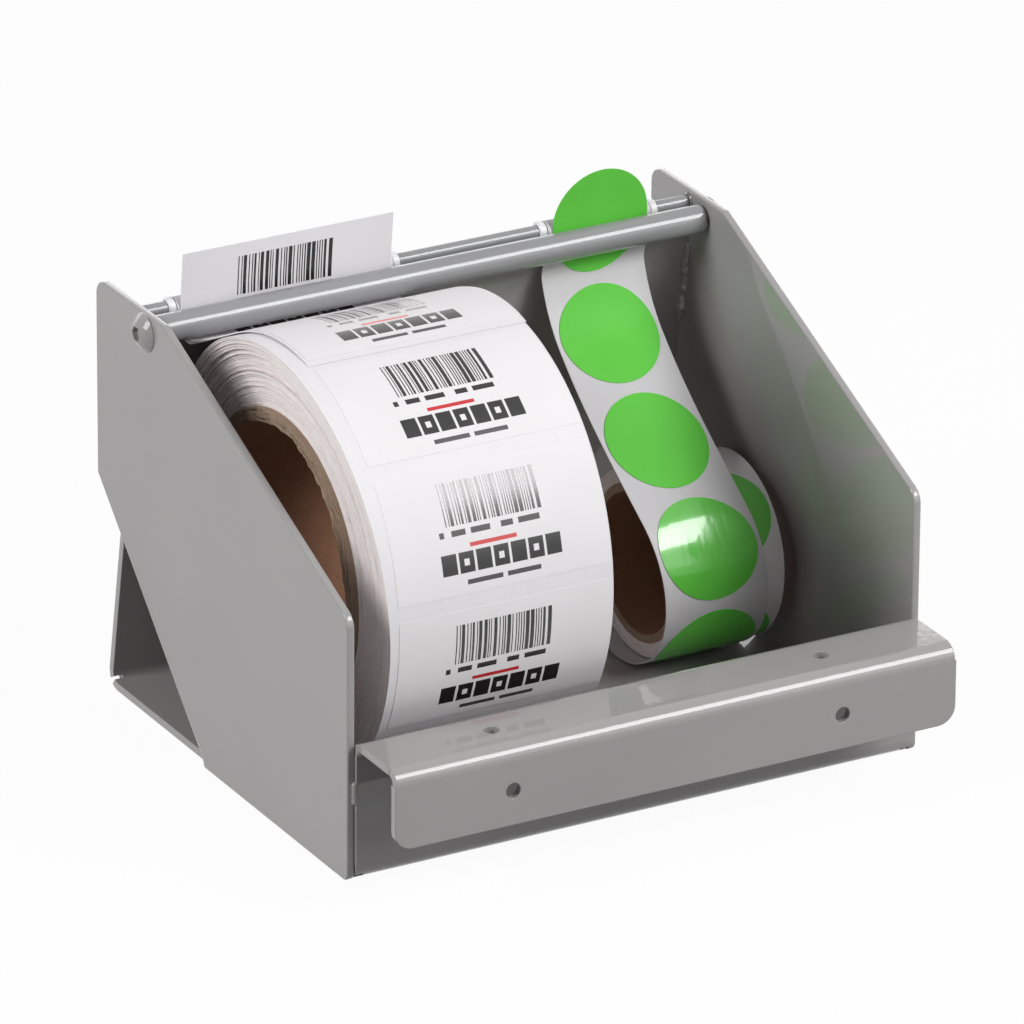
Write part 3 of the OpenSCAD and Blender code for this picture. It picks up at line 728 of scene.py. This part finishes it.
def side_panel(name, x0, stands_for):
    """A flat panel with rounded edges and the hole of its screw; its flats are shaded flat."""
    edge, hole_r, hole_steps = 0.4, 2.65, 36
    ring = outline(PANEL_CORNERS)
    count = len(ring)
    levels = []
    for k in range(4):
        t = math.radians(30 * k)
        levels.append((edge * (1 - math.sin(t)), edge * (1 - math.cos(t))))
    levels = [(d, x0 + x) for d, x in levels] + [(d, x0 + SHEET - x) for d, x in reversed(levels)]
    points = []
    for d, x in levels:
        points += [(x, *(p - n * d)) for p, n in ring]
    faces = []
    for i in range(len(levels) - 1):
        for k in range(count):
            k2 = (k + 1) % count
            faces.append((i * count + k, i * count + k2, (i + 1) * count + k2, (i + 1) * count + k))
    hole = [(BAR[0] + hole_r * math.cos(2 * math.pi * k / hole_steps),
             BAR[1] + hole_r * math.sin(2 * math.pi * k / hole_steps)) for k in range(hole_steps)]
    starts = []
    for x in (x0, x0 + SHEET):
        starts.append(len(points))
        points += [(x, y, z) for y, z in hole]
    for k in range(hole_steps):
        k2 = (k + 1) % hole_steps
        faces.append((starts[0] + k, starts[1] + k, starts[1] + k2, starts[0] + k2))
    flat = len(faces)
    for first_level, start in ((0, starts[0]), (len(levels) - 1, starts[1])):
        outer = [Vector((*(p - n * levels[first_level][0]), 0)) for p, n in ring]
        inner = [Vector((y, z, 0)) for y, z in hole]
        ids = [first_level * count + k for k in range(count)] + [start + k for k in range(hole_steps)]
        for tri in tessellate_polygon([outer, inner]):
            faces.append(tuple(ids[i] for i in tri))
    ob = piece(name, points, faces, [paint], "frame", stands_for, sharp=40.0)
    for polygon in ob.data.polygons[flat:]:
        polygon.use_smooth = False
    return ob


side_panel("panel_left", -HALF_W - SHEET, ["left_side_panel"])
side_panel("panel_right", HALF_W, ["right_side_panel"])

# Rigid CAD nodes that stay, with their finish; the bars and the peel rod's welds carry painted shade
kept = [("folded_tray", paint), ("guide_bar", shaded_bar_paint), ("guide_bar_screws", paint),
        ("peel_rod", shaded_bar_paint), ("peel_rod_welds", shaded_weld_paint)]
kept += [(f"guide_ring_{i}", plastic) for i in range(1, 5)]
for node_name, material in kept:
    data = nodes[node_name].data
    data.materials.clear()
    data.materials.append(material)


def weld_beads(name, runs, mat, uneven, stands_for):
    """Hand-laid fillet welds: runs holds (from, to, side, up, radius, seed) in millimetres for each bead.
    The value uneven is 1 for rough beads and less for smoother ones."""
    along, around = 64, 10
    points, faces = [], []
    for start, end, side, up, radius, seed in runs:
        base, drift = len(points), Vector((seed * 3.1, seed * 1.7, seed * 0.9))
        for i in range(along + 1):
            k = i / along
            middle = Vector(start).lerp(Vector(end), k)
            taper = math.sqrt(max(0.02, 1 - abs(2 * k - 1) ** 6))
            scale = 0.7 + uneven * (0.25 * abs(math.sin(k * 27.0 + seed)) - 0.1
                                    + 0.7 * noise.noise(drift + Vector((k * 7.0, 0, 0))))
            points.append(tuple(middle))
            for j in range(around + 1):
                t = math.pi / 2 * j / around
                lump = uneven * 0.25 * noise.noise(drift + Vector((k * 30.0, t * 2.0, 3.0)))
                reach = radius * taper * max(0.45, scale + lump + 0.35)
                out = Vector(side) * math.cos(t) + Vector(up) * math.sin(t)
                points.append(tuple(middle + out * reach))
        wide = around + 2
        for i in range(along):
            a, b = base + i * wide, base + (i + 1) * wide
            for j in range(wide):
                j2 = (j + 1) % wide
                faces.append((a + j, a + j2, b + j2, b + j))
        faces.append(tuple(base + j for j in range(wide)))
        faces.append(tuple(base + along * wide + j for j in reversed(range(wide))))
    return piece(name, points, faces, [mat], "frame", stands_for, sharp=80.0)


lean = math.radians(BACK_LEAN)
back_up = Vector((0, -math.sin(lean), math.cos(lean)))
back_out = Vector((0, -math.cos(lean), -math.sin(lean)))
seam_foot = (Vector((0, *BACK_FOOT)) + back_out * SHEET / 2
             + back_up * (REAR_WELD_AT * BACK_LEN - REAR_WELD_LEN / 2))
rear_runs = []
for seed, side in ((4, -1), (9, 1)):
    foot = seam_foot + Vector((side * HALF_W, 0, 0))
    rear_runs.append((foot, foot + back_up * REAR_WELD_LEN, (-side, 0, 0), back_out, REAR_WELD_R, seed))
weld_beads("rear_weld_beads", rear_runs, weld_paint, 1.0, ["back_seam_welds"])
front_runs = []
for seed, side in ((2, -1), (6, 1)):
    foot = Vector((side * HALF_W, Y_EDGE, FRONT_WELD_AT * LIP_H - FRONT_WELD_LEN / 2))
    front_runs.append((foot, foot + Vector((0, 0, FRONT_WELD_LEN)), (side, 0, 0), (0, -1, 0),
                       FRONT_WELD_R, seed))
weld_beads("front_weld_beads", front_runs, weld_paint, 0.35, ["front_seam_welds"])

# Wide roll
ragged_core("wide_core_tube", SUNK_AT, CORE_BORE, CORE_R, (WIDE_X - CORE_OUT, WIDE_X + WOUND_SHIFT + WIDE_W),
            "wide_roll", ["wide_roll_core"], 11, CORE_TEAR)


def drawn_left(a, r):
    """The web has drawn the layers at the top of the wide roll to the left, most of all the outer ones.
    A ruffle moves single layers there to and fro."""
    k = min(1.0, max(0.0, (r - DRAWN_FROM) / DRAWN_SPAN))
    ruffle = math.sin(4.1 * r + 2.0 * math.sin(1.7 * r)) * max(0.0, math.cos(a - math.radians(72))) ** 3
    return 0.4 * min(1.0, 4 * k) * ruffle - DRAWN * k * k * max(0.0, math.cos(a - math.radians(98))) ** 1.5


wound_roll("wide_winding", SUNK_AT, WOUND_IN, WOUND_OUT, 40,
           (WIDE_X + WOUND_SHIFT, WIDE_X + WOUND_SHIFT + WIDE_W), [wound, liner, liner], "wide_roll",
           ["wide_roll_winding"], 5, 0.35, pull=drawn_left, outer_at=WIDE_AT)
wound_roll("wide_wraps", WIDE_AT, WRAPS_IN, WRAPS_OUT, 9, (WIDE_X, WIDE_X + WIDE_W + SPREAD),
           [wound, liner, liner], "wide_roll", ["wide_roll_outer_wraps"], 7, 0.5, steps=240,
           pull=drawn_left)


def roll_labels():
    """The labels on the outside of the wide roll, each printed, in one piece."""
    points, faces, picks, uv = [], [], [], []
    corner, columns, steps = LABEL_CORNER, 12, 32
    near = corner_steps(corner)
    places = [LABEL_LEN * k / steps for k in range(steps + 1)]
    places = [p for p in places if corner < p < LABEL_LEN - corner]
    places = sorted(set(places + near + [LABEL_LEN - d for d in near]))
    for i in range(LABEL_COUNT):
        base = len(points)
        for r in (WIDE_R, WIDE_R - PRINTED_T):
            for s in places:
                inset = corner_inset(min(s, LABEL_LEN - s), corner)
                a = math.radians(LABEL_PHASE + i * LABEL_STEP) + s / WIDE_R
                for c in range(columns + 1):
                    w = inset + (LABEL_W - 2 * inset) * c / columns
                    points.append(around_x(WIDE_AT, r, a, label_x + w))
                    uv.append((w / LABEL_W, 1 - s / LABEL_LEN))
        new_faces, new_picks = band_faces(base, len(places), columns, 1)
        faces += new_faces
        picks += new_picks
    return piece("wide_labels", points, faces, [label_print, label_back], "wide_roll",
                 ["wide_roll_labels"], picks, {"label": uv})


roll_labels()
wide_web_legs = wide_rise + over_rod
ribbon("wide_web", wide_start, wide_web_legs, 0.0, path_len(wide_web_legs), WIDE_X + SPREAD, WIDE_W,
       -WEB_HALF, WEB_HALF, wide_runs, [liner], "frame", ["wide_liner_web"], sink=web_under)
web_label_from = web_r * math.radians(gap_at - LABEL_PHASE - 2 * LABEL_STEP - LABEL_SPAN)
ribbon("web_label", wide_start, wide_rise, web_label_from, web_label_from + LABEL_LEN, label_x, LABEL_W,
       WEB_HALF + WEB_LABEL_N[0], WEB_HALF + WEB_LABEL_N[1], wide_runs, [label_print, label_back], "frame",
       (), corner=LABEL_CORNER, uv_name="label",
       sink=lambda s: (web_under(s)[0] + WEB_T * (1 - web_under(s)[1]), 1.0))
peel_top = wide_len + PEEL_RISE
ribbon("peeled_label", wide_start, wide_rise + peel_on, peel_top - LABEL_LEN, peel_top, label_x, LABEL_W,
       WEB_HALF + LABEL_GAP, WEB_HALF + LABEL_GAP + LABEL_T, wide_runs, [label_print, label_back], "frame",
       ["wide_peeled_label"], corner=LABEL_CORNER, uv_name="label")

# Narrow roll and its strip
ragged_core("narrow_core_tube", NARROW_AT, NARROW_BORE, NARROW_CORE_R, (NARROW_X, NARROW_X + NARROW_W),
            "narrow_roll", ["narrow_roll_core"], 23, 0.3, plies=4, steps=160)
wound_roll("narrow_winding", NARROW_AT, NARROW_WOUND_IN, NARROW_R, 10, (NARROW_X, NARROW_X + NARROW_W),
           [wound, liner, liner], "narrow_roll", ["narrow_roll_winding"], 31, 0.25, steps=160)
roll_turn = [(2 * math.pi * NARROW_R, -360.0)]
roll_top = (NARROW_AT[0], NARROW_AT[1] + NARROW_R, 0.0)
quarter = 2 * math.pi * NARROW_R / 4
spots = [(roll_top, roll_turn, (i + 0.5) * quarter, NARROW_X + NARROW_W / 2, []) for i in range(4)]
dot("narrow_roll_labels", spots, DOT_R, LABEL_GAP, LABEL_GAP + LABEL_T, "narrow_roll",
    ["narrow_roll_dots"], green)
narrow_web_legs = narrow_rise + over_rod
strip_x = NARROW_X - STRIP_SHIFT
ribbon("narrow_web", narrow_start, narrow_web_legs, 0.0, path_len(narrow_web_legs), strip_x, NARROW_W,
       -WEB_HALF, WEB_HALF, narrow_runs, [glassine], "frame", ["narrow_liner_web"], columns=10)
# The lower two round labels catch the light, the upper three are dull
for i in range(5):
    s = narrow_len + PEEL_RISE - DOT_D / 2 - i * DOT_PITCH
    spot = (narrow_start, narrow_rise + peel_on, s, strip_x + NARROW_W / 2, narrow_runs)
    dot(f"round_label_{i + 1}", [spot], DOT_R, WEB_HALF + LABEL_GAP, WEB_HALF + LABEL_GAP + LABEL_T,
        "frame", [f"narrow_dot_{i + 1}"], green if i > 2 else green_satin)


# Stage, light and camera
WHITE = (1, 1, 1, 1)
FLOOR_SHARE, FLOOR_GREY, FLOOR_SEEN, WORLD_FILL = 0.95, 0.35, 0.45, 0.04


def put(tree, kind, inputs, **values):
    """Adds a node, feeds its first inputs with values or sockets and returns its outputs."""
    node = tree.nodes.new(kind)
    for key, value in values.items():
        setattr(node, key, value)
    for socket, value in zip(node.inputs, inputs):
        if isinstance(value, bpy.types.NodeSocket):
            tree.links.new(value, socket)
        else:
            socket.default_value = value
    return node.outputs


def stage_floor():
    """A floor that looks white to the camera and in mirror images, and keeps the part's shadow."""
    half = 6.0
    me = bpy.data.meshes.new("floor")
    corners = [(-half, -half, 0), (half, -half, 0), (half, half, 0), (-half, half, 0)]
    me.from_pydata(corners, [], [(0, 1, 2, 3)])
    ob = bpy.data.objects.new("floor", me)
    ob.location.z = -0.0001
    bpy.context.scene.collection.objects.link(ob)
    mat = bpy.data.materials.new("white_floor")
    mat.use_nodes = True
    tree = mat.node_tree
    tree.nodes.clear()
    path = put(tree, "ShaderNodeLightPath", [])
    camera, glossy = path["Is Camera Ray"], path["Is Glossy Ray"]
    tone = put(tree, "ShaderNodeMath", [camera, FLOOR_SEEN, FLOOR_GREY], operation="MULTIPLY_ADD")
    matte = put(tree, "ShaderNodeBsdfDiffuse", [tone[0]])
    glow = put(tree, "ShaderNodeEmission", [WHITE, 1.0])
    seen = put(tree, "ShaderNodeMath", [camera, glossy], operation="MAXIMUM")
    share = put(tree, "ShaderNodeMath", [seen[0], FLOOR_SHARE], operation="MULTIPLY")
    mixed = put(tree, "ShaderNodeMixShader", [share[0], matte[0], glow[0]])
    put(tree, "ShaderNodeOutputMaterial", [mixed[0]])
    me.materials.append(mat)


def stage_world():
    """White to the camera, in mirror images and through clear things; elsewhere a weak fill."""
    world = bpy.data.worlds.new("studio")
    bpy.context.scene.world = world
    world.use_nodes = True
    tree = world.node_tree
    tree.nodes.clear()
    path = put(tree, "ShaderNodeLightPath", [])
    rays = [path[f"Is {kind} Ray"] for kind in ("Camera", "Transmission", "Glossy")]
    seen = put(tree, "ShaderNodeMath", rays[:2], operation="MAXIMUM")
    either = put(tree, "ShaderNodeMath", [seen[0], rays[2]], operation="MAXIMUM")
    fill = put(tree, "ShaderNodeBackground", [WHITE, WORLD_FILL])
    white = put(tree, "ShaderNodeBackground", [WHITE, 1.0])
    mixed = put(tree, "ShaderNodeMixShader", [either[0], fill[0], white[0]])
    put(tree, "ShaderNodeOutputWorld", [mixed[0]])


AIM = Vector((0.0, 0.0, 0.06))


def soft_box(name, towards, distance, size_x, size_y, level):
    """An area lamp that gives a facing surface about level times its own colour."""
    data = bpy.data.lights.new(name, "AREA")
    data.shape = "RECTANGLE"
    data.size, data.size_y = size_x, size_y
    data.energy = level * math.pi ** 2 * distance ** 2
    ob = bpy.data.objects.new(name, data)
    direction = Vector(towards).normalized()
    ob.location = AIM + direction * distance
    ob.rotation_mode = "QUATERNION"
    ob.rotation_quaternion = (-direction).to_track_quat("-Z", "Y")
    bpy.context.scene.collection.objects.link(ob)


# Name, direction, distance, width, height and level: two main lamps, then broad weak ones as fill
LAMPS = [
    ("soft_box_left", (-0.865, 0.015, 0.50), 1.5, 0.6, 0.8, 0.64),
    ("soft_box_right", (0.4475, -0.604, 0.659), 1.6, 0.7, 0.6, 0.66),
    ("soft_box_front", (0.30, -0.85, 0.43), 1.8, 1.4, 1.0, 0.22),
    ("soft_box_rear", (0.15, 0.96, 0.24), 1.8, 2.4, 0.8, 0.26),
    ("soft_box_far_side", (0.97, 0.10, 0.24), 1.8, 2.0, 0.8, 0.26),
]
stage_floor()
stage_world()
for lamp in LAMPS:
    soft_box(*lamp)

# Camera as solved from the photograph's outlines
CAMERA_AT = Vector((-1.306024, -2.32265, 1.235928))
AZIMUTH, ELEVATION, ROLL = math.radians(-29.2615), math.radians(23.7208), math.radians(0.4308)
FOCAL_PX, IMAGE_PX, SENSOR = 10857.87, 1024, 36.0


def stage_camera():
    data = bpy.data.cameras.new("camera")
    data.sensor_fit = "HORIZONTAL"
    data.sensor_width = SENSOR
    data.lens = FOCAL_PX / IMAGE_PX * SENSOR
    data.clip_start, data.clip_end = 0.1, 50
    ob = bpy.data.objects.new("camera", data)
    back = Vector((math.sin(AZIMUTH) * math.cos(ELEVATION), -math.cos(AZIMUTH) * math.cos(ELEVATION),
                   math.sin(ELEVATION)))
    right = (-back).cross(Vector((0, 0, 1))).normalized()
    up = right.cross(-back)
    turned_right = math.cos(ROLL) * right + math.sin(ROLL) * up
    turned_up = math.cos(ROLL) * up - math.sin(ROLL) * right
    turn = Matrix((turned_right, turned_up, back)).transposed()
    ob.matrix_world = Matrix.Translation(CAMERA_AT) @ turn.to_4x4()
    bpy.context.scene.collection.objects.link(ob)
    bpy.context.scene.camera = ob


stage_camera()
bpy.context.scene.view_settings.view_transform = "Standard"
